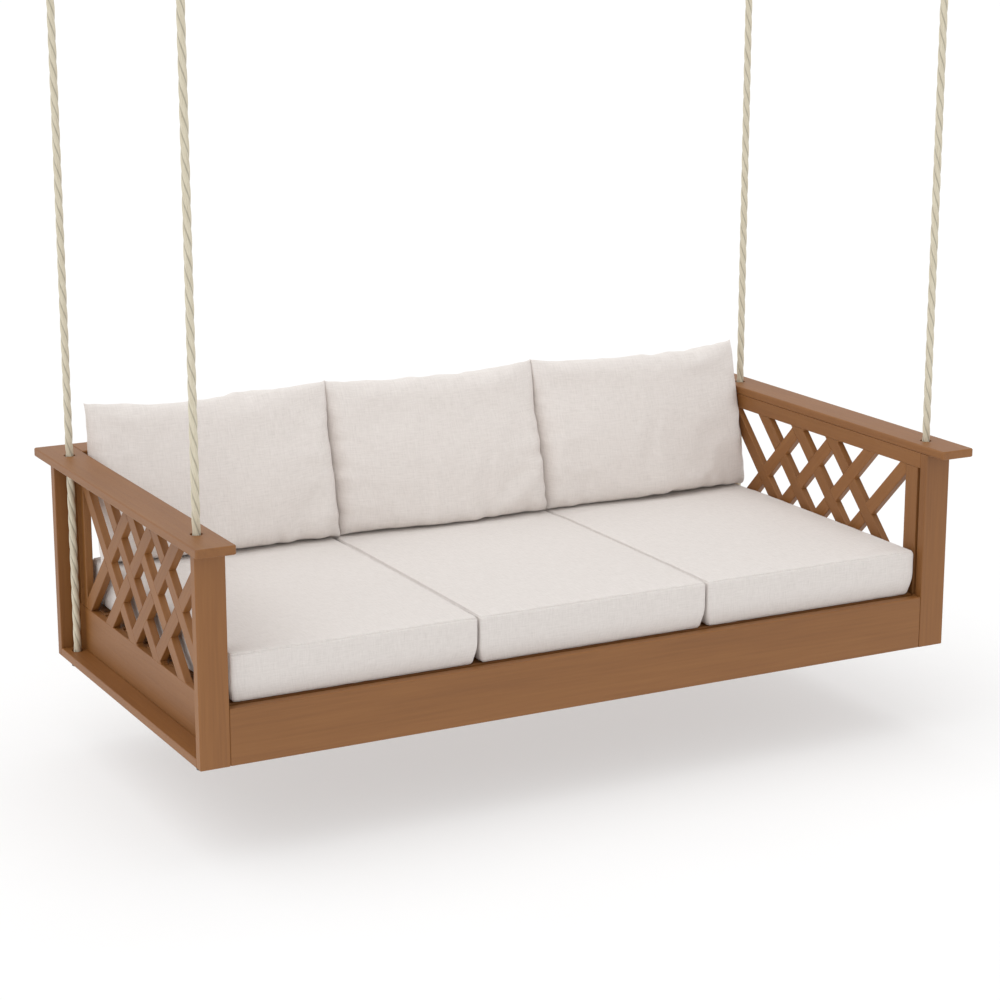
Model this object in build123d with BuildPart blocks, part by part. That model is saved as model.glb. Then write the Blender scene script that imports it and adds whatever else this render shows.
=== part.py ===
"""Porch swing: a daybed-size seat that hangs level from four ropes.

Millimetres. +X runs along the swing, -Y is the front, +Z is up. The origin is in the ceiling plane, in the
middle of the four ceiling eye bolts. Heights called "above the base" count from the underside of the seat
frame, which hangs ceiling_to_base below the ceiling.
"""

import math
import os

from build123d import *

os.makedirs("parts", exist_ok=True)

# Driving dimensions
ceiling_to_base = 1950.0
frame_length = 2080.0
frame_depth = 1003.0
post_width = 74.0
post_thickness = 26.0
plank_thickness = 22.0
plank_width = 97.0
arm_top_height = 538.0
arm_outer_overhang = 22.0
arm_front_overhang = 69.0
arm_rear_overhang = 66.0
rail_height = 137.0
panel_thickness = 20.0
top_rail_height = 40.0
stile_width = 50.0
stile_gap = 10.5
slat_width = 38.0
slat_thickness = 19.0
side_slats = 4
back_slats = 11
joist_thickness = 26.0
joist_height = 90.0
seat_boards = 7
seat_board_width = 120.0
rope_radius = 10.0
rope_hole_radius = 14.5
rope_inset_x = 31.0
rope_inset_y = 62.5

# Small shapes
plank_corner = 8.0
plank_ease = 4.0
board_ease = 2.5
slat_ease = 2.0
lap_gap = 0.2
joint_gap = 0.5
ledge_corner = 1.5
hole_chamfer = 1.0

# Places worked out from the dimensions, heights above the base
base = -ceiling_to_base
half_length = frame_length / 2
half_depth = frame_depth / 2
inner_x = half_length - post_width
inner_y = half_depth - post_thickness
post_height = arm_top_height - plank_thickness
panel_top = post_height - top_rail_height
stile_y = inner_y - stile_gap
window_y = stile_y - stile_width
arm_outer_x = half_length + arm_outer_overhang
arm_inner_x = arm_outer_x - plank_width
rope_x = half_length - rope_inset_x
rope_y = half_depth - rope_inset_y
SIDES = {"left": -1, "right": 1}
ENDS = {"front": -1, "rear": 1}


def finish(part, label):
    """Label one sub-part and write its STEP file."""
    part.label = label
    export_step(part, f"parts/{label}.step")


def span(centre, size):
    """The two ends of a stretch of that size about a centre."""
    return (centre - size / 2, centre + size / 2)


def mirrored(side, low, high):
    """A stretch on the +X or +Y side, or its mirror image, as (low, high)."""
    return (low, high) if side > 0 else (-high, -low)


def board(label, x, y, z, ease=board_ease):
    """A straight board between two corners, all its edges eased. z counts from the base."""
    with BuildPart() as piece:
        with BuildSketch(Plane.XY.offset(base + z[0])):
            with Locations(((x[0] + x[1]) / 2, (y[0] + y[1]) / 2)):
                Rectangle(x[1] - x[0], y[1] - y[0])
        extrude(amount=z[1] - z[0])
        fillet(piece.edges(), ease)
    finish(piece.part, label)


def plank_with_holes(label, x, y, z, corner, ease, hole_x):
    """A plank with rounded corners, eased edges and a rope hole near each end."""
    with BuildPart() as piece:
        with BuildSketch(Plane.XY.offset(base + z[0])) as outline:
            with Locations(((x[0] + x[1]) / 2, (y[0] + y[1]) / 2)):
                Rectangle(x[1] - x[0], y[1] - y[0])
            fillet(outline.vertices(), corner)
            with Locations((hole_x, rope_y), (hole_x, -rope_y)):
                Circle(rope_hole_radius, mode=Mode.SUBTRACT)
        extrude(amount=z[1] - z[0])
        rims = piece.faces().filter_by(Axis.Z).edges()
        circles = rims.filter_by(GeomType.CIRCLE)
        holes = circles.filter_by(lambda rim: rim.radius > rope_radius and rim.is_closed)
        fillet(rims - holes, ease)
        chamfer(holes, hole_chamfer)
    finish(piece.part, label)


# Frame boards -------------------------------------------------------------------------------------------

for side_name, side in SIDES.items():
    for end_name, end in ENDS.items():
        board(
            f"post_{end_name}_{side_name}",
            mirrored(side, inner_x, half_length),
            mirrored(end, inner_y, half_depth),
            (0, post_height),
        )

for side_name, side in SIDES.items():
    plank_with_holes(
        f"arm_{side_name}",
        mirrored(side, arm_inner_x, arm_outer_x),
        (-half_depth - arm_front_overhang, half_depth + arm_rear_overhang),
        (post_height, arm_top_height),
        plank_corner,
        plank_ease,
        side * rope_x,
    )
    plank_with_holes(
        f"ledge_{side_name}",
        mirrored(side, inner_x, half_length),
        (-inner_y, inner_y),
        (0, plank_thickness),
        ledge_corner,
        board_ease,
        side * rope_x,
    )
    panel_x = mirrored(side, inner_x, inner_x + panel_thickness)
    board(f"side_apron_{side_name}", panel_x, (-inner_y, inner_y), (plank_thickness, rail_height))
    board(f"side_top_rail_{side_name}", panel_x, (-inner_y, inner_y), (panel_top, post_height), slat_ease)
    for end_name, end in ENDS.items():
        board(
            f"stile_{end_name}_{side_name}",
            panel_x,
            mirrored(end, window_y, stile_y),
            (rail_height, panel_top),
            slat_ease,
        )

cap_rear_y = half_depth + arm_rear_overhang
board(
    "back_cap",
    (-arm_inner_x + joint_gap, arm_inner_x - joint_gap),
    (cap_rear_y - plank_width, cap_rear_y),
    (post_height, arm_top_height),
    plank_ease,
)
board("front_rail", (-inner_x, inner_x), (-half_depth, -inner_y), (0, rail_height), plank_ease)
board("rear_rail", (-inner_x, inner_x), (inner_y, half_depth), (0, rail_height), plank_ease)
back_panel_y = span(half_depth - post_thickness / 2, panel_thickness)
board("back_top_rail", (-inner_x, inner_x), back_panel_y, (panel_top, post_height), slat_ease)


# Lattice: slats at 45 degrees, half-lapped over and under in turn, from corner to corner of their window


def lattice(labels, plane, half_width, count):
    """Both sets of slats of one window. The plane is the slats' near face: its x runs along the window,
    its y is the height above the base, and its z points through the slats."""
    height = panel_top - rail_height
    middle = (panel_top + rail_height) / 2
    first = panel_top - half_width
    pitch = (rail_height + half_width - first) / (count - 1)
    offsets = [first + pitch * step for step in range(count)]
    reach = 2 * height
    notch_length = 1.5 * slat_width
    nearly_parallel = 0.999
    for label, slope in zip(labels, (1, -1)):
        with BuildPart() as slats:
            with BuildSketch(plane):
                for offset in offsets:
                    with Locations(Location((slope * (middle - offset), middle), slope * 45)):
                        Rectangle(reach, slat_width)
                with Locations((0, middle)):
                    Rectangle(2 * half_width, height, mode=Mode.INTERSECT)
            extrude(amount=slat_thickness)
            along = (plane.x_dir + plane.y_dir * slope).normalized()
            long_edges = slats.edges().filter_by(lambda edge: abs((edge % 0).dot(along)) > nearly_parallel)
            fillet(long_edges, slat_ease)
            for this, own in enumerate(offsets):
                for that, other in enumerate(offsets):
                    crossing_height = (own + other) / 2
                    if abs(crossing_height - middle) > height / 2 + slat_width:
                        continue
                    across = slope * (crossing_height - own)
                    falling_over = (this + that) % 2 == 0
                    is_under = falling_over if slope > 0 else not falling_over
                    depth = 0 if is_under else slat_thickness / 2
                    with BuildSketch(plane.offset(depth)):
                        with Locations(Location((across, crossing_height), -slope * 45)):
                            Rectangle(notch_length, slat_width + lap_gap)
                    extrude(amount=slat_thickness / 2, mode=Mode.SUBTRACT)
        finish(slats.part, label)


slat_inset = (panel_thickness - slat_thickness) / 2
for side_name, side in SIDES.items():
    near_x = mirrored(side, inner_x, inner_x + panel_thickness)[0] + slat_inset
    side_plane = Plane(origin=(near_x, 0, base), x_dir=(0, 1, 0), z_dir=(1, 0, 0))
    names = (f"lattice_{side_name}_rising_rearward", f"lattice_{side_name}_rising_forward")
    lattice(names, side_plane, window_y, side_slats)

back_plane = Plane(origin=(0, back_panel_y[1] - slat_inset, base), x_dir=(1, 0, 0), z_dir=(0, -1, 0))
lattice(("lattice_back_rising_right", "lattice_back_rising_left"), back_plane, inner_x, back_slats)


# Seat deck ----------------------------------------------------------------------------------------------

end_joist_x = inner_x - joist_thickness / 2
joist_spacing = end_joist_x / 2
deck_underside = rail_height - plank_thickness
joist_places = {"left_end": -2, "left": -1, "middle": 0, "right": 1, "right_end": 2}
joist_x = {name: step * joist_spacing for name, step in joist_places.items()}
for name, x in joist_x.items():
    joist_z = (deck_underside - joist_height, deck_underside)
    board(f"joist_{name}", span(x, joist_thickness), (-inner_y, inner_y), joist_z, slat_ease)

seat_gap = (2 * inner_y - seat_boards * seat_board_width) / (seat_boards + 1)
seat_pitch = seat_board_width + seat_gap
seat_board_y = [seat_pitch * (step - (seat_boards - 1) / 2) for step in range(seat_boards)]
for number, y in enumerate(seat_board_y, start=1):
    deck_x = (-inner_x + joint_gap, inner_x - joint_gap)
    board(f"seat_board_{number}", deck_x, span(y, seat_board_width), (deck_underside, rail_height))

# Two wood screws hold each seat board to each joist, their countersunk heads flush with the board
screw_radius = 2.5
screw_head_radius = 5.0
screw_head_height = 3.0
screw_length = 50.0
screw_spread = 70.0
with BuildPart() as deck_screws:
    with BuildSketch(Plane.XZ) as screw_outline:
        with BuildLine():
            Polyline(
                (0, 0),
                (screw_head_radius, 0),
                (screw_radius, -screw_head_height),
                (screw_radius, -screw_length + screw_head_height),
                (0, -screw_length),
                close=True,
            )
        make_face()
    screw = revolve(axis=Axis.Z, mode=Mode.PRIVATE)
    screw_places = [
        (x, y + offset, base + rail_height)
        for x in joist_x.values()
        for y in seat_board_y
        for offset in (-screw_spread / 2, screw_spread / 2)
    ]
    with Locations(*screw_places):
        add(screw)
finish(deck_screws.part, "deck_screws")

# Steel angle brackets in the four corners, between the end joists and the long rails
bracket_leg = 45.0
bracket_height = 60.0
bracket_sheet = 3.0
bracket_rise = 15.0
bracket_base = deck_underside - joist_height + bracket_rise
with BuildPart() as corner_brackets:
    for sx in SIDES.values():
        for sy in ENDS.values():
            corner_x = sx * (inner_x - joist_thickness)
            corner_y = sy * inner_y
            with BuildSketch(Plane.XY.offset(base + bracket_base)):
                with BuildLine():
                    Polyline(
                        (corner_x, corner_y),
                        (corner_x - sx * bracket_leg, corner_y),
                        (corner_x - sx * bracket_leg, corner_y - sy * bracket_sheet),
                        (corner_x - sx * bracket_sheet, corner_y - sy * bracket_sheet),
                        (corner_x - sx * bracket_sheet, corner_y - sy * bracket_leg),
                        (corner_x, corner_y - sy * bracket_leg),
                        close=True,
                    )
                make_face()
            extrude(amount=bracket_height)
finish(corner_brackets.part, "corner_brackets")

# Cushions -----------------------------------------------------------------------------------------------

seat_cushion_width = 636.0
seat_cushion_pitch = 638.0
seat_cushion_front = -482.0
seat_cushion_rear = 462.0
seat_cushion_bottom = rail_height + 2.0
seat_cushion_top = 266.0
seat_cushion_round = 16.0
pillow_width = 622.0
pillow_pitch = 640.0
pillow_round = 22.0
# A back pillow seen from its end: it stands on the seat cushions and leans back to the back cap
pillow_back = ((420, 268), (446, 330), (466, 500), (458, 668))
pillow_front = ((412, 668), (312, 440), (296, 330), (318, 268))
thirds = {"left": -1, "middle": 0, "right": 1}

for name, step in thirds.items():
    with BuildPart() as seat_cushion:
        with BuildSketch(Plane.XY.offset(base + seat_cushion_bottom)):
            with Locations((step * seat_cushion_pitch, (seat_cushion_front + seat_cushion_rear) / 2)):
                Rectangle(seat_cushion_width, seat_cushion_rear - seat_cushion_front)
        extrude(amount=seat_cushion_top - seat_cushion_bottom)
        fillet(seat_cushion.edges(), seat_cushion_round)
    finish(seat_cushion.part, f"seat_cushion_{name}")

    with BuildPart() as pillow:
        end_plane = Plane(origin=(step * pillow_pitch, 0, base), x_dir=(0, 1, 0), z_dir=(1, 0, 0))
        with BuildSketch(end_plane) as pillow_end:
            with BuildLine():
                Polyline(*pillow_back, *pillow_front, close=True)
            make_face()
            fillet(pillow_end.vertices(), pillow_round)
        extrude(amount=pillow_width / 2, both=True)
    finish(pillow.part, f"back_pillow_{name}")

# Ropes and their fittings -------------------------------------------------------------------------------

eye_bar_radius = 5.5
eye_hole_radius = 20.0
stud_radius = 6.0
stud_length = 65.0
collar_radius = 17.0
collar_height = 6.0
neck_height = 8.0
neck_radius = 7.0
thimble_sheet = 2.7
thimble_foot_gap = 1.5
running_gap = 0.3
loop_radius = 28.0
throat_drop = 88.0
washer_radius = 22.0
washer_height = 2.5
rim_chamfer = 0.5
stop_radius = 16.0
stop_height = 15.0
hinge_drop = plank_thickness / 2

eye_ring_radius = eye_hole_radius + eye_bar_radius
ring_z = -(collar_height + neck_height + eye_ring_radius)
thimble_radius = rope_radius + thimble_sheet
swing_z = ring_z - (eye_hole_radius - thimble_radius) + running_gap
loop_z = swing_z - loop_radius
throat_z = loop_z - throat_drop
seat_hinge_z = base + arm_top_height - hinge_drop
leg_angle = math.degrees(math.asin(loop_radius / throat_drop))
leg_length = math.sqrt(throat_drop**2 - loop_radius**2)
rope_places = {(e, s): (SIDES[s] * rope_x, ENDS[e] * rope_y) for e in ENDS for s in SIDES}


def cross_plane(x, y, z, leaning):
    """A plane across a leg of the eye splice: its normal climbs away from the throat, turned about Y."""
    normal = Vector(0, 0, 1).rotate(Axis.Y, leaning)
    return Plane(origin=(x, y, z), x_dir=(0, 1, 0), z_dir=normal)


# Ceiling eye bolts: a closed ring under a collar, with a stud that goes up into the ceiling timber
with BuildPart() as ceiling_eyes:
    for x, y in rope_places.values():
        with BuildSketch(Plane.XY.offset(-collar_height)):
            with Locations((x, y)):
                Circle(collar_radius)
        extrude(amount=collar_height)
        with BuildSketch(Plane.XY.offset(-collar_height - neck_height - eye_bar_radius)):
            with Locations((x, y)):
                Circle(neck_radius)
        extrude(amount=neck_height + eye_bar_radius)
        with BuildSketch(Plane.XY):
            with Locations((x, y)):
                Circle(stud_radius)
        extrude(amount=stud_length)
        with Locations(Location((x, y, ring_z), (0, 90, 0))):
            Torus(eye_ring_radius, eye_bar_radius)
finish(ceiling_eyes.part, "ceiling_eyes")

for end_name, end in ENDS.items():
    # Steel thimbles: a channel bent round the inside of each spliced eye
    with BuildPart() as thimbles:
        for side in SIDES.values():
            x, y = side * rope_x, end * rope_y
            loop_plane = Plane(origin=(x, y, loop_z), x_dir=(1, 0, 0), z_dir=(0, -1, 0))
            leg_end = (thimble_radius + thimble_foot_gap) / math.sin(math.radians(leg_angle))
            foot_x = leg_end * math.sin(math.radians(leg_angle))
            foot_z = leg_end * math.cos(math.radians(leg_angle)) - throat_drop
            shoulder_x = loop_radius * math.cos(math.radians(leg_angle))
            shoulder_z = -loop_radius * math.sin(math.radians(leg_angle))
            with BuildLine(loop_plane) as thimble_path:
                Line((-foot_x, foot_z), (-shoulder_x, shoulder_z))
                ThreePointArc((-shoulder_x, shoulder_z), (0, loop_radius), (shoulder_x, shoulder_z))
                Line((shoulder_x, shoulder_z), (foot_x, foot_z))
            start = thimble_path.line @ 0
            heading = thimble_path.line % 0
            inward = Vector(0, -1, 0).cross(heading) * -1
            with BuildSketch(Plane(origin=start, x_dir=inward, z_dir=heading)):
                Circle(thimble_radius)
                Circle(rope_radius, mode=Mode.SUBTRACT)
                with Locations((-thimble_radius, 0)):
                    Rectangle(2 * thimble_radius, 2 * thimble_radius, mode=Mode.SUBTRACT)
            sweep(path=thimble_path.line)
    finish(thimbles.part, f"thimbles_{end_name}")

    for side_name, side in SIDES.items():
        x, y = side * rope_x, end * rope_y
        # The long stretch: a round end in the arm's hole, a straight rope, and the eye spliced at its top
        with BuildPart() as rope:
            with Locations((x, y, seat_hinge_z)):
                Sphere(rope_radius)
            with BuildSketch(Plane.XY.offset(seat_hinge_z)):
                with Locations((x, y)):
                    Circle(rope_radius)
            extrude(amount=throat_z - seat_hinge_z)
            for leaning in (-leg_angle, leg_angle):
                with BuildSketch(cross_plane(x, y, throat_z, leaning)):
                    Circle(rope_radius)
                extrude(amount=leg_length)
            with BuildLine(Plane(origin=(x, y, loop_z), x_dir=(1, 0, 0), z_dir=(0, -1, 0))) as bow:
                ThreePointArc((-shoulder_x, shoulder_z), (0, loop_radius), (shoulder_x, shoulder_z))
            with BuildSketch(Plane(origin=bow.line @ 0, z_dir=bow.line % 0)):
                Circle(rope_radius)
            sweep(path=bow.line)
        finish(rope.part, f"rope_{end_name}_{side_name}")

        # The short stretch, from the arm's underside down through the ledge to the stop
        with BuildPart() as tail:
            tail_bottom = base - washer_height - stop_height
            with BuildSketch(Plane.XY.offset(tail_bottom)):
                with Locations((x, y)):
                    Circle(rope_radius)
            extrude(amount=base + post_height - tail_bottom)
        finish(tail.part, f"rope_tail_{end_name}_{side_name}")


def rings(label, radius, hole, top, height):
    """One ring round each rope, as four solids."""
    with BuildPart() as group:
        with BuildSketch(Plane.XY.offset(top - height)):
            with Locations(*rope_places.values()):
                Circle(radius)
                Circle(hole, mode=Mode.SUBTRACT)
        extrude(amount=height)
        rims = group.edges().filter_by(GeomType.CIRCLE).filter_by(lambda rim: rim.radius == radius)
        chamfer(rims, rim_chamfer)
    finish(group.part, label)


rings("rope_washers", washer_radius, rope_radius, base, washer_height)
rings("rope_stops", stop_radius, rope_radius, base - washer_height, stop_height)
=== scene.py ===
"""Porch swing: the looks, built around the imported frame.

Metres, +X along the swing, -Y its front, +Z up.
"""

import math

import bpy
import numpy as np
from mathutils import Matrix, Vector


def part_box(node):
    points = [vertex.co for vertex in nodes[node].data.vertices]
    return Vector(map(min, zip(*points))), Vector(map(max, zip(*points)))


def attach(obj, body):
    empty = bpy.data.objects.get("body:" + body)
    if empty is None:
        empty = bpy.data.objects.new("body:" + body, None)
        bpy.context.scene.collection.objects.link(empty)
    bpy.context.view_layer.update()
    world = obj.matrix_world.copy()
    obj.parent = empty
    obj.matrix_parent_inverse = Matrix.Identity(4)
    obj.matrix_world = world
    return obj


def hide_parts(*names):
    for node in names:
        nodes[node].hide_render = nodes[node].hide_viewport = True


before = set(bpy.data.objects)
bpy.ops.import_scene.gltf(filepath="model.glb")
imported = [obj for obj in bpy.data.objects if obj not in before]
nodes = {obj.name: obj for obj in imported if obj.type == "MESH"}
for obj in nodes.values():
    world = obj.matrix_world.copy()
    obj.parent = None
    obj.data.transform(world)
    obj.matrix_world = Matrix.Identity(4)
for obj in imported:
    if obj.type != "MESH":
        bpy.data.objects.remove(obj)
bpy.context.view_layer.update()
scene = bpy.context.scene

# Places read from the frame -----------------------------------------------------------------------------

FLOOR_BELOW_SWING = 0.24
SIDES = ("left", "right")
ENDS = ("front", "rear")
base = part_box("front_rail")[0].z
arm_low, arm_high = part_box("arm_left")
pivot_z = (arm_low.z + arm_high.z) / 2
floor_z = base - FLOOR_BELOW_SWING
rope_radius = 0.010
STRANDS = 3
STRAND_WIDTH = 2 * math.pi * rope_radius / STRANDS


# Materials ----------------------------------------------------------------------------------------------


def new_material(name):
    """A material with its node tree and its Principled shader."""
    material = bpy.data.materials.new(name)
    material.use_nodes = True
    return material, material.node_tree, material.node_tree.nodes["Principled BSDF"]


def add(tree, kind, inputs=None, **settings):
    """One node. Each input is a value, or an output socket to link from."""
    node = tree.nodes.new(kind)
    for key, value in settings.items():
        setattr(node, key, value)
    for key, value in (inputs or {}).items():
        if isinstance(value, bpy.types.NodeSocket):
            tree.links.new(value, node.inputs[key])
        else:
            node.inputs[key].default_value = value
    return node


def math_node(tree, operation, a, b=0.0):
    return add(tree, "ShaderNodeMath", {0: a, 1: b}, operation=operation).outputs[0]


def ramp(tree, factor, stops):
    """A colour ramp through (position, colour) stops."""
    node = add(tree, "ShaderNodeValToRGB", {"Fac": factor})
    elements = node.color_ramp.elements
    elements[0].position, elements[0].color = stops[0][0], (*stops[0][1], 1)
    elements[1].position, elements[1].color = stops[-1][0], (*stops[-1][1], 1)
    for position, colour in stops[1:-1]:
        elements.new(position).color = (*colour, 1)
    return node.outputs["Color"]


def remap(tree, value, low, high):
    """value, from 0 to 1, brought to between low and high."""
    node = add(tree, "ShaderNodeMapRange", {"Value": value, "To Min": low, "To Max": high})
    return node.outputs["Result"]


def scale(tree, vector, factor):
    """A vector or a colour times a factor."""
    node = add(tree, "ShaderNodeVectorMath", {0: vector, "Scale": factor}, operation="SCALE")
    return node.outputs["Vector"]


def weighted(tree, *parts):
    """The sum of (value, weight) parts."""
    total = None
    for value, weight in parts:
        part = math_node(tree, "MULTIPLY", value, weight)
        total = part if total is None else math_node(tree, "ADD", total, part)
    return total


def emboss(tree, shader, height, strength, distance):
    """Relief on a shader from a height between 0 and 1, distance metres deep."""
    bump = add(tree, "ShaderNodeBump", {"Height": height, "Strength": strength, "Distance": distance})
    tree.links.new(bump.outputs["Normal"], shader.inputs["Normal"])


def streaks(tree, point, along, fine, slow, detail=4.0, rough=0.55):
    """Noise drawn out along a direction: fine across it, slow along it, in features per metre."""
    run = add(tree, "ShaderNodeVectorMath", {0: point, 1: along}, operation="DOT_PRODUCT")
    held_back = math_node(tree, "MULTIPLY", run.outputs["Value"], fine - slow)
    ends = {0: scale(tree, point, fine), 1: scale(tree, along, held_back)}
    drawn = add(tree, "ShaderNodeVectorMath", ends, operation="SUBTRACT")
    texture = add(
        tree,
        "ShaderNodeTexNoise",
        {"Vector": drawn.outputs["Vector"], "Scale": 1.0, "Detail": detail, "Roughness": rough},
    )
    return texture.outputs["Fac"]


TEAK_BROWNS = (
    (0.30, (0.213, 0.081, 0.0175)),
    (0.50, (0.246, 0.097, 0.0215)),
    (0.72, (0.280, 0.115, 0.0275)),
)
LINEN_GREYS = (
    (0.28, (0.64, 0.595, 0.56)),
    (0.47, (0.765, 0.715, 0.68)),
    (0.55, (0.80, 0.75, 0.715)),
    (0.72, (0.88, 0.84, 0.81)),
)
ROPE_CREAMS = ((0.30, (0.47, 0.41, 0.29)), (0.48, (0.65, 0.59, 0.455)), (0.70, (0.76, 0.715, 0.58)))
STEEL_GREYS = ((0.35, (0.50, 0.50, 0.49)), (0.65, (0.63, 0.63, 0.62)))
RUBBER_BLACKS = ((0.35, (0.022, 0.020, 0.018)), (0.65, (0.045, 0.041, 0.037)))
FLOOR_GREYS = ((0.3, (0.465, 0.465, 0.465)), (0.7, (0.475, 0.475, 0.475)))


def lumber(name, along):
    """Teak-brown plastic lumber, satin, with a faint embossed grain that runs along the board."""
    material, tree, shader = new_material(name)
    place = add(tree, "ShaderNodeTexCoord").outputs["Object"]
    chance = add(tree, "ShaderNodeObjectInfo").outputs["Random"]
    shift = math_node(tree, "MULTIPLY", chance, 7.0)
    point = add(tree, "ShaderNodeVectorMath", {0: place, 1: shift}, operation="ADD").outputs["Vector"]
    grain = streaks(tree, point, along, fine=150.0, slow=5.0)
    broad = streaks(tree, point, along, fine=14.0, slow=1.6, detail=2.0)
    pores = streaks(tree, point, along, fine=900.0, slow=60.0, detail=2.0)
    tone = ramp(tree, weighted(tree, (grain, 0.55), (broad, 0.45)), TEAK_BROWNS)
    board_to_board = remap(tree, chance, 0.94, 1.06)
    tree.links.new(scale(tree, tone, board_to_board), shader.inputs["Base Color"])
    tree.links.new(remap(tree, pores, 0.42, 0.60), shader.inputs["Roughness"])
    shader.inputs["Specular IOR Level"].default_value = 0.52
    emboss(tree, shader, weighted(tree, (grain, 0.6), (pores, 0.4)), strength=0.35, distance=0.0006)
    return material


THREAD_PITCH = 0.0011


def cloth_material(name, level):
    """Warm light grey linen: a plain weave of uneven threads. Its UV map is in metres."""
    material, tree, shader = new_material(name)
    place = add(tree, "ShaderNodeUVMap", uv_map="cloth").outputs["UV"]
    up, across = (0.0, 1.0, 0.0), (1.0, 0.0, 0.0)
    warp = streaks(tree, place, up, fine=700.0, slow=45.0, detail=3.0)
    weft = streaks(tree, place, across, fine=700.0, slow=45.0, detail=3.0)
    slubs = streaks(tree, place, up, fine=230.0, slow=22.0, detail=2.0)
    cross_slubs = streaks(tree, place, across, fine=230.0, slow=22.0, detail=2.0)
    heather = weighted(tree, (warp, 0.3), (weft, 0.3), (slubs, 0.2), (cross_slubs, 0.2))
    tone = ramp(tree, heather, LINEN_GREYS)
    tree.links.new(scale(tree, tone, level), shader.inputs["Base Color"])
    shader.inputs["Roughness"].default_value = 0.92
    shader.inputs["Specular IOR Level"].default_value = 0.15
    shader.inputs["Sheen Weight"].default_value = 0.18
    shader.inputs["Sheen Roughness"].default_value = 0.55
    bands = math.pi / (10 * THREAD_PITCH)
    threads = {"Vector": place, "Scale": bands, "Distortion": 0.6, "Detail": 1.0}
    weave = [
        add(tree, "ShaderNodeTexWave", threads, bands_direction=direction).outputs["Fac"]
        for direction in ("X", "Y")
    ]
    relief = math_node(tree, "ADD", math_node(tree, "MULTIPLY", *weave), heather)
    emboss(tree, shader, relief, strength=0.5, distance=0.0005)
    return material


def rope_material():
    """Cream laid rope: fine yarns twisted along each strand, with painted shade in the hollows between
    them.
    """
    material, tree, shader = new_material("laid_rope")
    place = add(tree, "ShaderNodeUVMap", uv_map="strand").outputs["UV"]
    lean = (0.28, 0.96, 0.0)
    yarns = streaks(tree, place, lean, fine=520.0, slow=26.0, detail=3.0)
    fibres = streaks(tree, place, lean, fine=2400.0, slow=150.0, detail=2.0)
    both = weighted(tree, (yarns, 0.65), (fibres, 0.35))
    tone = ramp(tree, both, ROPE_CREAMS)
    # Painted shade: the colour is darkened towards the hollows between the strands, where shade falls.
    round_place = add(tree, "ShaderNodeSeparateXYZ", {"Vector": place}).outputs["X"]
    wander = remap(tree, streaks(tree, place, lean, fine=300.0, slow=40.0), -0.07, 0.07)
    strands = math_node(tree, "ADD", math_node(tree, "DIVIDE", round_place, STRAND_WIDTH), wander)
    on_strand = math_node(tree, "FRACT", strands)
    off_middle = math_node(tree, "ABSOLUTE", math_node(tree, "SUBTRACT", on_strand, 0.5))
    fall = {"Value": off_middle, "From Min": 0.33, "From Max": 0.5, "To Min": 1.0, "To Max": 0.62}
    painted_hollow_shade = add(tree, "ShaderNodeMapRange", fall, interpolation_type="SMOOTHSTEP").outputs["Result"]
    tree.links.new(scale(tree, tone, painted_hollow_shade), shader.inputs["Base Color"])
    shader.inputs["Roughness"].default_value = 0.78
    shader.inputs["Specular IOR Level"].default_value = 0.25
    shader.inputs["Sheen Weight"].default_value = 0.12
    emboss(tree, shader, both, strength=0.8, distance=0.0009)
    return material


def steel_material():
    """Satin stainless steel with faint drawing lines."""
    material, tree, shader = new_material("satin_steel")
    place = add(tree, "ShaderNodeTexCoord").outputs["Object"]
    lines = streaks(tree, place, (0.0, 0.0, 1.0), fine=1600.0, slow=90.0)
    cloudy = add(tree, "ShaderNodeTexNoise", {"Vector": place, "Scale": 60.0, "Detail": 3.0})
    tree.links.new(ramp(tree, cloudy.outputs["Fac"], STEEL_GREYS), shader.inputs["Base Color"])
    tree.links.new(remap(tree, lines, 0.26, 0.44), shader.inputs["Roughness"])
    shader.inputs["Metallic"].default_value = 1.0
    emboss(tree, shader, lines, strength=0.2, distance=0.0002)
    return material


def rubber_material():
    """Dull black rubber of the rope stops."""
    material, tree, shader = new_material("black_rubber")
    place = add(tree, "ShaderNodeTexCoord").outputs["Object"]
    noise = add(tree, "ShaderNodeTexNoise", {"Vector": place, "Scale": 900.0, "Detail": 4.0})
    speckle = noise.outputs["Fac"]
    tree.links.new(ramp(tree, speckle, RUBBER_BLACKS), shader.inputs["Base Color"])
    tree.links.new(remap(tree, speckle, 0.55, 0.75), shader.inputs["Roughness"])
    emboss(tree, shader, speckle, strength=0.3, distance=0.0004)
    return material


lumber_along_x = lumber("lumber_along_x", (1.0, 0.0, 0.0))
lumber_along_y = lumber("lumber_along_y", (0.0, 1.0, 0.0))
lumber_along_z = lumber("lumber_along_z", (0.0, 0.0, 1.0))
diagonal = math.sqrt(0.5)
lumber_diagonals = {
    "rising_rearward": lumber("lumber_rising_rearward", (0.0, diagonal, diagonal)),
    "rising_forward": lumber("lumber_rising_forward", (0.0, -diagonal, diagonal)),
    "rising_right": lumber("lumber_rising_right", (diagonal, 0.0, diagonal)),
    "rising_left": lumber("lumber_rising_left", (-diagonal, 0.0, diagonal)),
}
# One linen in two copies, lit and shaded: the pillows' copy is painted lighter than the seat's. This
# painted highlight stands in for the light that falls on the pillows.
seat_linen = cloth_material("seat_linen", level=0.97)
pillow_linen_painted_lighter = cloth_material("pillow_linen_painted_lighter", level=1.05)
laid_rope = rope_material()
satin_steel = steel_material()
black_rubber = rubber_material()

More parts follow.
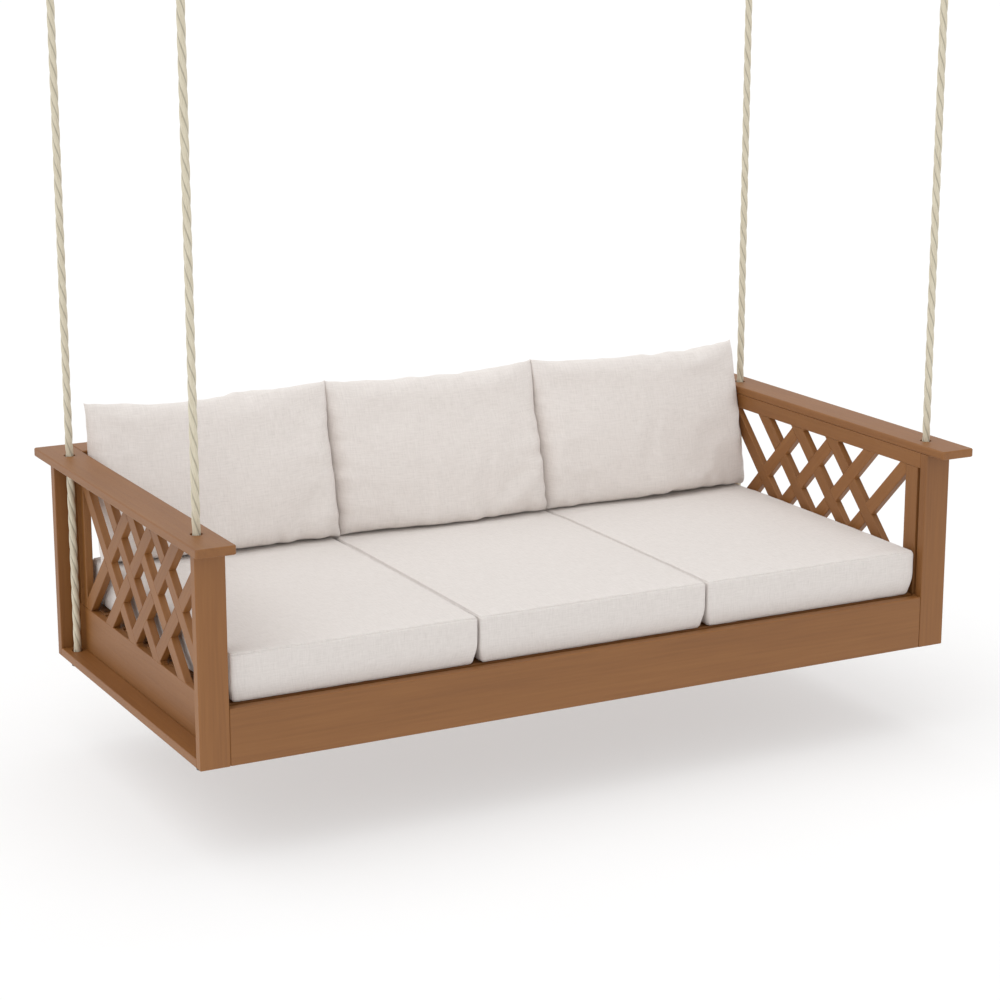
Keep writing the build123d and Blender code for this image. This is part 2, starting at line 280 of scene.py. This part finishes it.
PLAIN_FINISHES = (
    (("front_rail", "rear_rail", "back_cap", "back_top_rail", "seat_board"), lumber_along_x),
    (("arm", "ledge", "side_apron", "side_top_rail", "joist"), lumber_along_y),
    (("post", "stile"), lumber_along_z),
    (("ceiling_eyes", "thimbles", "deck_screws", "corner_brackets", "rope_washers"), satin_steel),
    (("rope_stops",), black_rubber),
)


def dress(node, material):
    """Gives a CAD node its material."""
    data = nodes[node].data
    data.materials.clear()
    data.materials.append(material)


for node in nodes:
    for starts, finish in PLAIN_FINISHES:
        if node.startswith(starts):
            dress(node, finish)
    for direction, finish in lumber_diagonals.items():
        if node.startswith("lattice") and node.endswith(direction):
            dress(node, finish)


# Mesh helpers -------------------------------------------------------------------------------------------


def new_piece(name, points, faces, uv, material, uv_name):
    """A smooth-shaded mesh object. uv gives one (u, v) for each corner of each face."""
    mesh = bpy.data.meshes.new(name)
    mesh.from_pydata([tuple(p) for p in points], [], faces)
    mesh.materials.append(material)
    layer = mesh.uv_layers.new(name=uv_name)
    layer.data.foreach_set("uv", np.asarray(uv, np.float32).ravel())
    mesh.polygons.foreach_set("use_smooth", [True] * len(mesh.polygons))
    mesh.update()
    piece = bpy.data.objects.new(name, mesh)
    scene.collection.objects.link(piece)
    return piece


def read_line(route):
    """Points along the smooth NURBS line of a route."""
    curve = bpy.data.curves.new("route", "CURVE")
    curve.dimensions = "3D"
    curve.resolution_u = 40
    spline = curve.splines.new("NURBS")
    spline.points.add(len(route) - 1)
    for point, place in zip(spline.points, route):
        point.co = (*place, 1.0)
    spline.order_u = 3
    spline.use_endpoint_u = True
    holder = bpy.data.objects.new("route", curve)
    scene.collection.objects.link(holder)
    bpy.context.view_layer.update()
    mesh = bpy.data.meshes.new_from_object(holder)
    line = np.array([v.co for v in mesh.vertices], float)
    bpy.data.objects.remove(holder)
    bpy.data.meshes.remove(mesh)
    return line


def even(line, step):
    """The line's points again, evenly spaced about step apart, and how far along each one is."""
    lengths = np.r_[0, np.cumsum(np.linalg.norm(np.diff(line, axis=0), axis=1))]
    places = np.linspace(0, lengths[-1], int(round(lengths[-1] / step)) + 1)
    return np.column_stack([np.interp(places, lengths, line[:, axis]) for axis in range(3)]), places


def tube(line, along, reach, twist=0.0):
    """A closed skin round a line: points, faces and UV. reach is its radius at each side of a ring."""
    sides = len(reach)
    tangents = np.gradient(line, axis=0)
    tangents /= np.linalg.norm(tangents, axis=1)[:, None]
    lap = np.array((0.0, 1.0, 0.0)) if abs(tangents[:, 1]).max() < 0.7 else np.array((0.0, 0.0, 1.0))
    across = lap - (tangents @ lap)[:, None] * tangents
    across /= np.linalg.norm(across, axis=1)[:, None]
    other = np.cross(tangents, across)
    turns = np.linspace(0, 2 * math.pi, sides, endpoint=False)[None, :] + np.zeros(len(line))[:, None]
    turns += np.broadcast_to(twist, len(line))[:, None]
    spokes = np.cos(turns)[..., None] * across[:, None, :] + np.sin(turns)[..., None] * other[:, None, :]
    points = (line[:, None, :] + np.asarray(reach)[None, :, None] * spokes).reshape(-1, 3)
    faces, uv = [], []
    width = 2 * math.pi * float(np.max(reach)) / sides
    for ring in range(len(line) - 1):
        for side in range(sides):
            after = (side + 1) % sides
            low, high = ring * sides, (ring + 1) * sides
            faces.append((low + side, low + after, high + after, high + side))
            u0, u1 = width * side, width * (side + 1)
            uv += [(u0, along[ring]), (u1, along[ring]), (u1, along[ring + 1]), (u0, along[ring + 1])]
    last = (len(line) - 1) * sides
    faces.append(tuple(reversed(range(sides))))
    faces.append(tuple(range(last, last + sides)))
    uv += [(0.0, along[0])] * sides + [(0.0, along[-1])] * sides
    return points, faces, uv


# Ropes --------------------------------------------------------------------------------------------------

STRAND_SIDES = 12
STRAND_OFFSET = 0.0031  # from the rope's centre line to a strand's
ROPE_LAY = 0.150
RING_STEP = 0.0045
UPPER_START_DROP = 0.001  # how far under the hinge each stretch of rope starts
LOWER_START_DROP = 0.003


def strand_reach():
    """How far a laid rope's skin stands from its centre line: full strands, with hollows between them."""
    swing = np.linspace(-math.pi / STRANDS, math.pi / STRANDS, STRAND_SIDES, endpoint=False)
    strand = rope_radius - STRAND_OFFSET
    reach = STRAND_OFFSET * np.cos(swing) + np.sqrt(strand ** 2 - (STRAND_OFFSET * np.sin(swing)) ** 2)
    return np.tile(reach, STRANDS)


def laid(name, route, start_angle=0.0):
    """A three-strand rope twisted left-handed along the smooth line of a route, and that line."""
    line, along = even(read_line(route), RING_STEP)
    twist = start_angle - 2 * math.pi * along / ROPE_LAY
    piece = new_piece(name, *tube(line, along, strand_reach(), twist=twist), laid_rope, "strand")
    return piece, line


LOOP_RADIUS = 0.028
LOOP_CORNERS = 5
THROAT_DROP = 0.088
LOOP_CLEAR = 0.033
TWINE_RADIUS = 0.0016
TWINE_STAND_OFF = 0.0012
SEIZING_TURNS = 26
SEIZING_BELOW = 0.050
SEIZING_TAPER = 0.03


def eye_route(x, y, crown_z):
    """Up from the arm's hole, round the thimble and back to the throat of the eye."""
    loop_z = crown_z - LOOP_RADIUS
    throat_z = loop_z - THROAT_DROP
    lean = math.asin(LOOP_RADIUS / THROAT_DROP)
    wedge = (math.pi + 2 * lean) / LOOP_CORNERS
    corner_radius = LOOP_RADIUS / math.cos(wedge / 2)
    corners = [
        (
            x - corner_radius * math.cos(wedge * (step + 0.5) - lean),
            y,
            loop_z + corner_radius * math.sin(wedge * (step + 0.5) - lean),
        )
        for step in range(LOOP_CORNERS)
    ]
    near = 2 * LOOP_RADIUS * math.tan(wedge / 2)
    leg = (math.sin(lean), math.cos(lean))
    rising = (corners[0][0] + leg[0] * near, y, corners[0][2] - leg[1] * near)
    falling = (corners[-1][0] - leg[0] * near, y, corners[-1][2] - leg[1] * near)
    end = (x + leg[0] * LOOP_CLEAR, y, throat_z + leg[1] * LOOP_CLEAR)
    straight = 12 * rope_radius
    rise = [(x, y, pivot_z + straight), (x, y, throat_z - straight / 2), (x, y, throat_z)]
    start = (x, y, pivot_z - UPPER_START_DROP)
    return [start, *rise, rising, *corners, falling, end]


def seizing(name, x, y, throat_z):
    """Thin twine wound tightly round both legs of the eye and down over the splice."""
    low, high = -SEIZING_BELOW, LOOP_CLEAR + 0.002
    angles = np.linspace(0, 2 * math.pi * SEIZING_TURNS, SEIZING_TURNS * 28)
    heights = low + (high - low) * angles / angles[-1]
    taper = np.clip((heights - low) / SEIZING_TAPER, 0.0, 1.0)
    spread_y = rope_radius + TWINE_STAND_OFF * taper
    spread_x = spread_y + np.clip(heights, 0, None) * 0.3
    line = np.column_stack(
        [x + spread_x * np.cos(angles), y + spread_y * np.sin(angles), throat_z + heights]
    )
    along = np.r_[0, np.cumsum(np.linalg.norm(np.diff(line, axis=0), axis=1))]
    piece = new_piece(name, *tube(line, along, [TWINE_RADIUS] * 6), laid_rope, "strand")
    return piece


for end in ENDS:
    for side in SIDES:
        node = f"rope_{end}_{side}"
        low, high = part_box(node)
        x, y = (low.x + high.x) / 2, (low.y + high.y) / 2
        crown_z = high.z - rope_radius
        rope, line = laid(f"laid_{node}", eye_route(x, y, crown_z))
        whipping = seizing(f"seizing_{end}_{side}", x, y, crown_z - LOOP_RADIUS - THROAT_DROP)
        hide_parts(node)
        for piece in (rope, whipping):
            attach(piece, f"{end}_ropes")

        node = f"rope_tail_{end}_{side}"
        low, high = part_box(node)
        top_z = pivot_z - LOWER_START_DROP
        route = [(x, y, top_z), (x, y, top_z - 0.12), (x, y, low.z + 0.12), (x, y, low.z)]
        turned = 2 * math.pi * (LOWER_START_DROP - UPPER_START_DROP) / ROPE_LAY
        tail, line = laid(f"laid_{node}", route, start_angle=turned)
        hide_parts(node)
        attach(tail, "seat")


# Cushions -----------------------------------------------------------------------------------------------

cloth_seed = 20
BOX_GRADES = (0.0, 0.0025, 0.006, 0.012, 0.021)
PILLOW_GRADES = (0.0, 0.003, 0.008, 0.015)


def graded(half_length, step, grades):
    """Places from -half_length to half_length, close together near both ends, where the seams are."""
    inner = half_length - grades[-1]
    middle = np.linspace(-inner, inner, max(2, int(round(2 * inner / step)) + 1))
    ends = half_length - np.array(grades[:-1])
    return np.r_[-ends, middle, ends[::-1]]


def enclosed(points, faces):
    """The volume inside a closed mesh of quads."""
    quads = np.array(faces)
    volume = 0.0
    for corners in ((0, 1, 2), (0, 2, 3)):
        a, b, c = (points[quads[:, corner]] for corner in corners)
        volume += float(np.einsum("ij,ij->i", a, np.cross(b, c)).sum()) / 6
    return volume


def inflate(start, cut, faces, volume, stiffness, bending, held=None, frames=24):
    """Cloth filled to a volume. It keeps the lengths of the shape called cut, and held points stay."""
    mesh = bpy.data.meshes.new("inflating")
    mesh.from_pydata([tuple(p) for p in start], [], faces)
    holder = bpy.data.objects.new("inflating", mesh)
    scene.collection.objects.link(holder)
    holder.shape_key_add(name="Basis")
    key = holder.shape_key_add(name="cut")
    key.data.foreach_set("co", np.asarray(cut, np.float32).ravel())
    cloth = holder.modifiers.new("Cloth", "CLOTH")
    settings = cloth.settings
    settings.quality = 6
    settings.mass = 0.3
    settings.tension_stiffness = stiffness
    settings.compression_stiffness = stiffness * 0.7
    settings.shear_stiffness = stiffness * 0.25
    settings.bending_stiffness = bending
    settings.tension_damping = settings.compression_damping = settings.shear_damping = 8.0
    settings.use_pressure = True
    settings.uniform_pressure_force = 0.0
    settings.use_pressure_volume = True
    settings.target_volume = volume
    settings.pressure_factor = 30.0
    settings.effector_weights.gravity = 0.0
    settings.rest_shape_key = key
    cloth.collision_settings.use_collision = False
    if held is not None:
        group = holder.vertex_groups.new(name="held")
        group.add([int(i) for i in held], 1.0, "REPLACE")
        settings.vertex_group_mass = "held"
    cloth.point_cache.frame_start = 1
    cloth.point_cache.frame_end = frames
    for frame_number in range(1, frames + 1):
        scene.frame_set(frame_number)
    shaped = holder.evaluated_get(bpy.context.evaluated_depsgraph_get()).data
    points = np.empty(3 * len(start), np.float32)
    shaped.vertices.foreach_get("co", points)
    bpy.data.objects.remove(holder)
    bpy.data.meshes.remove(mesh)
    scene.frame_set(1)
    return points.reshape(-1, 3).astype(float)


def under(values, limit, soft):
    """Values brought down smoothly to stay under a limit."""
    over = (values - limit) / soft
    return limit - soft * np.logaddexp(0, -over)


def smooth_step(values, low, high):
    t = np.clip((values - low) / (high - low), 0, 1)
    return t * t * (3 - 2 * t)


def puckers(draw, places, spans):
    """Uneven gathers along a seam: waves of several lengths that come and go. About -1 to 1."""
    total = np.zeros_like(places)
    for span in spans:
        phase, wander = draw.uniform(0, 2 * math.pi, 2)
        total += draw.uniform(0.6, 1.0) * np.sin(
            2 * math.pi * places / span + phase + 1.4 * np.sin(places / (1.9 * span) + wander)
        )
    swell = 0.62 + 0.38 * np.sin(places / draw.uniform(0.05, 0.09) + draw.uniform(0, 2 * math.pi))
    return total * swell / len(spans)


def beside_seam(distance, start, reach):
    """How strong a gather is at a distance from its seam: nothing at the seam, most just inside it."""
    return np.exp(-distance / reach) * (1 - np.exp(-distance / start))


def cloth_piece(name, node, points, faces, uv, material):
    """A finished cushion that stands for its CAD solid."""
    piece = new_piece(name, points, faces, uv, material, "cloth")
    smoother = piece.modifiers.new("Subdivision", "SUBSURF")
    smoother.levels = smoother.render_levels = 1
    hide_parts(node)
    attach(piece, "seat")
    return piece


# Seat cushions

SEAT_STEP = 0.016
CORNER_RADIUS = 0.010
SEAT_TOP_SEAM = 0.259
SEAT_FILL = 1.07
SEAT_START_CROWN = 0.010
SEAT_GATHER = 0.0022
SEAT_GATHER_SPANS = (0.038, 0.055, 0.09)
SEAM_DEPTH = 0.0026
TUCK = 0.009
TUCK_HEIGHT = 0.055
SEAT_SIDE_GAP = 0.0016
PRESSED_FROM_Y = 0.215
PRESSED_FULLY_Y = 0.285
PRESSED_EDGE = 0.2570
PRESSED_CROWN = 0.0050
FREE_CROWN = 0.03
UV_SHIFT = 2  # metres; each cushion's cloth is cut from another place
seat_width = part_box("seat_cushion_middle")[1].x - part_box("seat_cushion_middle")[0].x
seat_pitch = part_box("seat_cushion_right")[0].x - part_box("seat_cushion_middle")[0].x


def contact_height(x):
    """How high above the base the pillows rest: on each cushion's crown, and lower at its edges."""
    across = (x - seat_pitch * np.clip(np.round(x / seat_pitch), -1, 1)) / (seat_width / 2)
    return PRESSED_EDGE + PRESSED_CROWN * np.clip(1 - across ** 4, 0, 1)


def boxed_grid(half):
    """The surface of a box as a closed grid: its points, its faces, and their UV in metres."""
    places = [graded(h, SEAT_STEP, BOX_GRADES) for h in half]
    counts = [len(p) for p in places]
    index = {}
    points = []

    def corner(i, j, k):
        if (i, j, k) not in index:
            index[i, j, k] = len(points)
            points.append((places[0][i], places[1][j], places[2][k]))
        return index[i, j, k]

    faces, uv = [], []
    for axis in range(3):
        first, second = [a for a in range(3) if a != axis]
        for at in (0, counts[axis] - 1):
            outward = (at > 0) == (axis != 1)
            for i in range(counts[first] - 1):
                for j in range(counts[second] - 1):
                    ring = [(i, j), (i + 1, j), (i + 1, j + 1), (i, j + 1)]
                    if not outward:
                        ring.reverse()
                    face = []
                    for a, b in ring:
                        spot = [at, at, at]
                        spot[first], spot[second] = a, b
                        face.append(corner(*spot))
                        uv.append((places[first][a], places[second][b]))
                    faces.append(face)
    return np.array(points), faces, np.array(uv)


def seat_cushion(side, order):
    """A boxed foam cushion: crowned top, sides that belly out between fine sewn edges."""
    node = f"seat_cushion_{side}"
    low, high = (np.array(corner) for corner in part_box(node))
    middle, half = (low + high) / 2, (high - low) / 2
    draw = np.random.default_rng(cloth_seed + order)
    box, faces, uv = boxed_grid(half)
    edge = half - np.abs(box)
    on = edge < 1e-6

    # Eased edges: a point near two faces moves onto a small round between them.
    core = np.clip(box, -(half - CORNER_RADIUS), half - CORNER_RADIUS)
    out = box - core
    reach = np.linalg.norm(out, axis=1)
    rounded = core + out * (np.minimum(reach, CORNER_RADIUS) / np.maximum(reach, 1e-9))[:, None]

    # The cut cloth has a little more length beside each seam than the seam itself.
    cut = rounded.copy()
    normal = np.where(on, np.sign(box), 0.0)
    normal /= np.maximum(np.linalg.norm(normal, axis=1), 1e-9)[:, None]
    gather = np.zeros(len(box))
    for axis in (0, 1, 2):
        others = [a for a in (0, 1, 2) if a != axis]
        for across in others:
            along = 3 - axis - across
            flat = on[:, axis] & ~on[:, across]
            wave = puckers(draw, box[:, along], SEAT_GATHER_SPANS)
            gather += np.where(flat, wave * beside_seam(edge[:, across], 0.004, 0.022), 0.0)
    cut += normal * (gather * SEAT_GATHER)[:, None]

    # The lower edge is tucked in under the bulge of the sides.
    tucked = TUCK * (1 - smooth_step(box[:, 2], -half[2], -half[2] + TUCK_HEIGHT))
    cut[:, :2] -= np.sign(cut[:, :2]) * np.minimum(tucked[:, None], np.abs(cut[:, :2]))

    plan = np.clip(1 - (box[:, :2] / half[:2]) ** 2, 0, 1).prod(axis=1)
    start = cut.copy()
    start[:, 2] += np.where(on[:, 2] & (box[:, 2] > 0), SEAT_START_CROWN * plan ** 0.5, 0.0)
    held = np.nonzero(on[:, 2] & (box[:, 2] < 0))[0]
    volume = enclosed(cut, faces) * SEAT_FILL
    points = inflate(start, cut, faces, volume, stiffness=30.0, bending=1.5, held=held)

    # Sewn line along the top and bottom edges, drawn in a little.
    seam = on[:, 2] & (on[:, 0] | on[:, 1])
    inward = np.where(seam[:, None], -np.sign(box) * on, 0.0)
    inward /= np.maximum(np.linalg.norm(inward, axis=1), 1e-9)[:, None]
    points += inward * SEAM_DEPTH

    # The top seam's height and the crown, then what presses on it: its neighbours and the pillow's foot.
    rise = smooth_step(box[:, 2], -half[2], half[2])
    points[:, 2] += rise * (SEAT_TOP_SEAM - (high[2] - base))
    limit = half[0] - SEAT_SIDE_GAP
    points[:, 0] = under(points[:, 0], limit, 0.0012)
    points[:, 0] = -under(-points[:, 0], limit, 0.0012)
    points[:, 2] = np.maximum(points[:, 2], -half[2])
    placed = points + middle
    free = FREE_CROWN * (1 - smooth_step(placed[:, 1], PRESSED_FROM_Y, PRESSED_FULLY_Y))
    placed[:, 2] = under(placed[:, 2], base + contact_height(placed[:, 0]) + free, 0.0010)
    uv += draw.uniform(-UV_SHIFT, UV_SHIFT, 2)
    return cloth_piece(f"cushion_seat_{side}", node, placed, faces, uv, seat_linen)


for order, side in enumerate(("left", "middle", "right")):
    seat_cushion(side, order)


# Back pillows

PILLOW_STEP = 0.012
PILLOW_CUT_HEIGHT = 0.432
PILLOW_CUT_WIDER = 1.032
PILLOW_LOFT = 0.083  # volume for each square metre of pillow
PILLOW_BACK = 0.467
PILLOW_FLOOR = 0.2600
PILLOW_TOP = 0.667
PILLOW_LEAN = math.atan2(0.095, PILLOW_TOP - PILLOW_FLOOR)
TOP_DIP = 0.014
TOP_RIPPLE = 0.0024
SIDE_DIP = -0.004
CORNER_BLUNT = 0.022
SINKING = 0.034
FULLNESS = 0.80
FOOT_FULLER = 0.42
FOOT_ROLL = 0.004
FOOT_ARC = 0.022
FOOT_ROUND = 0.065
FOOT_UNDER = 0.042
FOOT_CREASE = 0.009
SIDE_ROUND = 0.048
SIDE_UNDER = 0.038
SIDE_CREASE = 0.008
OUTER_SIDE_X = 0.9
OUTER_SIDE_SHARE = 0.35  # the two outermost sides meet no neighbour and turn back less
EDGE_WANDER = 0.0034


class Pillow:
    """Where one back pillow lies.

    ends are its ends along x, top_y and foot_y how far its edges stand back at the left and at the right,
    and cell the room it has between its neighbours.
    """

    def __init__(self, side, ends, top_y, foot_y, cell):
        self.side, self.ends, self.top_y, self.foot_y, self.cell = side, ends, top_y, foot_y, cell


PILLOWS = (
    Pillow("left", (-0.961, -0.304), (0.452, 0.436), (0.344, 0.320), (-0.9625, -0.3045)),
    Pillow("middle", (-0.305, 0.316), (0.438, 0.437), (0.330, 0.310), (-0.3043, 0.3155)),
    Pillow("right", (0.3155, 0.962), (0.436, 0.427), (0.318, 0.322), (0.3157, 0.9635)),
)


def creases(draw, places, spacing):
    """Short folds that run in from a seam, about a spacing apart and uneven in depth. 0 to 1."""
    phase, swell = draw.uniform(0, 2 * math.pi, 2)
    wandering = math.pi * places / spacing + phase + 0.8 * np.sin(places / (1.7 * spacing) + swell)
    depth = 0.6 + 0.4 * np.sin(places / (0.9 * spacing) + swell)
    return depth * (1 - np.abs(np.sin(wandering))) ** 2


def quarter_round(near):
    """The fall of a rounded edge: nothing where near is 0, all of it where near is 1."""
    return 1 - np.sqrt(1 - np.minimum(near, 0.995) ** 2)


def shared_edge(x, z):
    """Where two neighbouring pillows meet: a line that wanders a few millimetres."""
    draw = np.random.default_rng(int(1000 * abs(x)))
    return x + EDGE_WANDER * puckers(draw, z, (0.040, 0.058, 0.095))


def even_out(reach, along, rim_reach, rim_along):
    """reach over the smooth curve of the far rim, so that the rim comes to about 1 all along it."""
    far = np.abs(rim_reach) > 0.85 * np.abs(rim_reach).max()
    curve = np.polyfit(rim_along[far] ** 2, np.abs(rim_reach[far]), 2)
    return reach / np.polyval(curve, along ** 2)


def pillow_cloth(draw, width, height):
    """Two panels sewn round: where each point is cut, where it starts, faces, UV, and the rim's points."""
    us, vs = (graded(length / 2, PILLOW_STEP, PILLOW_GRADES) for length in (width, height))
    across, up = np.meshgrid(us, vs, indexing="ij")
    rim = np.minimum(width / 2 - np.abs(across), height / 2 - np.abs(up)) < 1e-9
    dome = np.clip((1 - (2 * across / width) ** 2) * (1 - (2 * up / height) ** 2), 0, 1) ** 0.45
    index = np.full((2, *across.shape), -1)
    cut, start, faces, uv = [], [], [], []
    seams = (
        (across, height / 2 - up, (0.045, 0.062, 0.085), 0.0044, 0.034),
        (across, height / 2 + up, (0.058, 0.075, 0.104), 0.0075, 0.046),
        (up, width / 2 - across, (0.045, 0.066, 0.092), 0.0062, 0.040),
        (up, width / 2 + across, (0.045, 0.066, 0.092), 0.0062, 0.040),
    )
    for layer, facing in enumerate((-1, 1)):
        wave = sum(
            size * puckers(draw, along, spans) * beside_seam(away, 0.006, reach)
            for along, away, spans, size, reach in seams
        )
        for i in range(len(us)):
            for j in range(len(vs)):
                if rim[i, j] and layer:
                    index[1, i, j] = index[0, i, j]
                    continue
                index[layer, i, j] = len(cut)
                lift = 0.0 if rim[i, j] else facing * (0.062 * dome[i, j]) + wave[i, j]
                cut.append((across[i, j], 0.0 if rim[i, j] else wave[i, j], up[i, j]))
                start.append((across[i, j] * 0.97, lift, up[i, j] * 0.97))
        for i in range(len(us) - 1):
            for j in range(len(vs) - 1):
                ring = [(i, j), (i + 1, j), (i + 1, j + 1), (i, j + 1)]
                if layer:
                    ring.reverse()
                faces.append([int(index[layer, a, b]) for a, b in ring])
                uv += [(across[a, b], up[a, b]) for a, b in ring]
    return np.array(cut), np.array(start), faces, np.array(uv), np.unique(index[0][rim])


def turned_back(draw, spec, x, z, v, resting):
    """How far the front turns back towards the lower seam and the side seams, with folds that run in."""
    gathers = puckers(draw, x, (0.052, 0.070, 0.100))
    near = np.clip(1 - (z - resting) / (FOOT_ROUND * (1 + 0.30 * gathers)), 0, 1)
    back = FOOT_UNDER * (1 + 0.35 * gathers) * quarter_round(near)
    back = back + FOOT_CREASE * creases(draw, x, 0.068) * near
    below_top = 1 - smooth_step(v, 0.30, 0.92)
    for edge, gap in zip(spec.cell, (x - spec.cell[0], spec.cell[1] - x)):
        gathers = puckers(draw, z, (0.040, 0.058, 0.085))
        near = np.clip(1 - gap / (SIDE_ROUND * (1 + 0.30 * gathers)), 0, 1)
        side_back = SIDE_UNDER * (1 + 0.35 * gathers) * quarter_round(near)
        side_back = side_back + SIDE_CREASE * creases(draw, z, 0.060) * near
        share = OUTER_SIDE_SHARE if abs(edge) > OUTER_SIDE_X else 1.0
        back = np.maximum(back, side_back * below_top * share)
    return back


def pillow(spec, order):
    """A knife-edged scatter pillow that leans on the back, softly filled."""
    node = f"back_pillow_{spec.side}"
    draw = np.random.default_rng(cloth_seed + 50 + order)
    half_width = (spec.ends[1] - spec.ends[0]) / 2
    width, height = 2 * half_width * PILLOW_CUT_WIDER, PILLOW_CUT_HEIGHT
    cut, start, faces, uv, rim = pillow_cloth(draw, width, height)
    volume = width * height * PILLOW_LOFT
    points = inflate(start, cut, faces, volume, stiffness=20.0, bending=0.3, frames=18)

    # The outline keeps its gathers, and its overall curve becomes this pillow's. u runs from -1 to 1
    # along the seat, v from -1 to 1 up the pillow, and the top edge dips between its corners.
    u = even_out(points[:, 0], points[:, 2], points[rim, 0], points[rim, 2])
    v = even_out(points[:, 2], points[:, 0], points[rim, 2], points[rim, 0])
    blunt = 1 - CORNER_BLUNT * np.clip(np.abs(u * v), 0, 1) ** 10
    u, v = u * blunt, v * blunt
    thickest = np.abs(points[:, 1]).max()
    thick = np.abs(points[:, 1]) / thickest
    x = (spec.ends[0] + spec.ends[1]) / 2 + u * (half_width - SIDE_DIP * (1 - v ** 2))
    rise, part = (v + 1) / 2, (u + 1) / 2
    ripple = TOP_RIPPLE * puckers(draw, x, (0.046, 0.064, 0.090)) * smooth_step(v, 0.55, 1.0)
    dip = TOP_DIP * (1 - np.abs(u) ** 2.4) * smooth_step(v, -0.6, 1.0)
    z = PILLOW_FLOOR + (PILLOW_TOP - PILLOW_FLOOR) * rise + ripple - dip

    # It leans back, and its filling sinks towards the seat and rolls over the lower seam.
    foot_y = spec.foot_y[0] + (spec.foot_y[1] - spec.foot_y[0]) * part + FOOT_ARC * (1 - u ** 4)
    top_y = spec.top_y[0] + (spec.top_y[1] - spec.top_y[0]) * part
    z -= SINKING * thick ** 1.5
    outward = np.sign(points[:, 1]) * thick ** FULLNESS * thickest * (1 + FOOT_FULLER * (0.5 - rise))
    from_side = (1 - np.abs(u)) * half_width
    for facing in (-1, 1):
        pull = 0.5 + 0.5 * puckers(draw, z, (0.038, 0.055, 0.080))
        flatter = (0.25 + 0.35 * pull) * np.exp(-from_side / 0.026)
        outward *= 1 - np.where(u * facing > 0, flatter, 0.0)
    y = foot_y + (top_y - foot_y) * rise + outward * math.cos(PILLOW_LEAN)
    z -= outward * math.sin(PILLOW_LEAN)
    resting = contact_height(x) + 0.0004
    y += turned_back(draw, spec, x, z, v, resting) * (1 - smooth_step(outward, 0.0, 0.050))

    # The back, its neighbours and the seat limit it.
    y = under(y, PILLOW_BACK, 0.004)
    x = under(x, shared_edge(spec.cell[1], z), 0.0010)
    x = -under(-x, -shared_edge(spec.cell[0], z), 0.0010)
    z = np.maximum(-under(-z, -resting, FOOT_ROLL) - 0.002, resting)
    placed = np.column_stack([x, y, z + base])
    uv += draw.uniform(-UV_SHIFT, UV_SHIFT, 2)
    return cloth_piece(f"pillow_{spec.side}", node, placed, faces, uv, pillow_linen_painted_lighter)


for order, spec in enumerate(PILLOWS):
    pillow(spec, order)


# Floor, light and camera --------------------------------------------------------------------------------


def floor_material():
    """Plain pale floor that partly lights itself."""
    material, tree, shader = new_material("pale_floor")
    place = add(tree, "ShaderNodeTexCoord").outputs["Object"]
    cloudy = add(tree, "ShaderNodeTexNoise", {"Vector": place, "Scale": 2.0, "Detail": 3.0})
    tree.links.new(ramp(tree, cloudy.outputs["Fac"], FLOOR_GREYS), shader.inputs["Base Color"])
    shader.inputs["Emission Color"].default_value = (1.0, 1.0, 1.0, 1.0)
    shader.inputs["Emission Strength"].default_value = 0.50
    shader.inputs["Roughness"].default_value = 0.9
    shader.inputs["Specular IOR Level"].default_value = 0.1
    return material


FLOOR_HALF = 150.0
CORNER_SIGNS = ((-1, -1), (1, -1), (1, 1), (-1, 1))
corners = [(sx * FLOOR_HALF, sy * FLOOR_HALF, floor_z) for sx, sy in CORNER_SIGNS]
floor_uv = [corner[:2] for corner in corners]
floor = new_piece("floor", corners, [(0, 1, 2, 3)], floor_uv, floor_material(), "floor")

HORIZON_WHITE = (0.30, (1.0, 1.0, 1.0))
OVERHEAD_GREY = (0.55, (0.61, 0.61, 0.61))
world = bpy.data.worlds.new("studio")
world.use_nodes = True
sky = world.node_tree
skyward = add(sky, "ShaderNodeTexCoord").outputs["Generated"]
height = add(sky, "ShaderNodeSeparateXYZ", {"Vector": skyward}).outputs["Z"]
sky.links.new(ramp(sky, height, (HORIZON_WHITE, OVERHEAD_GREY)), sky.nodes["Background"].inputs["Color"])
scene.world = world


def soft_sun(name, strength, angle, tilt, turn):
    """A very wide sun: soft light with no fall-off. tilt is from overhead, turn is round the vertical."""
    light = bpy.data.lights.new(name, "SUN")
    light.energy = strength
    light.angle = math.radians(angle)
    lamp = bpy.data.objects.new(name, light)
    lamp.rotation_euler = (math.radians(tilt), 0.0, math.radians(turn))
    scene.collection.objects.link(lamp)


soft_sun("overhead", strength=1.2, angle=80.0, tilt=-14.0, turn=60.0)
soft_sun("front_fill", strength=0.28, angle=60.0, tilt=40.0, turn=-55.0)
scene.view_settings.view_transform = "Standard"

camera_data = bpy.data.cameras.new("camera")
camera_data.sensor_width = 36.0
camera_data.lens = 91.44
camera_data.clip_end = 500.0
camera = bpy.data.objects.new("camera", camera_data)
camera.location = (-2.9778, -5.6027, 0.0428)
looks_down, looks_right = 14.09, 27.92
camera.rotation_euler = (math.radians(90 - looks_down), 0.0, math.radians(-looks_right))
scene.collection.objects.link(camera)
scene.camera = camera
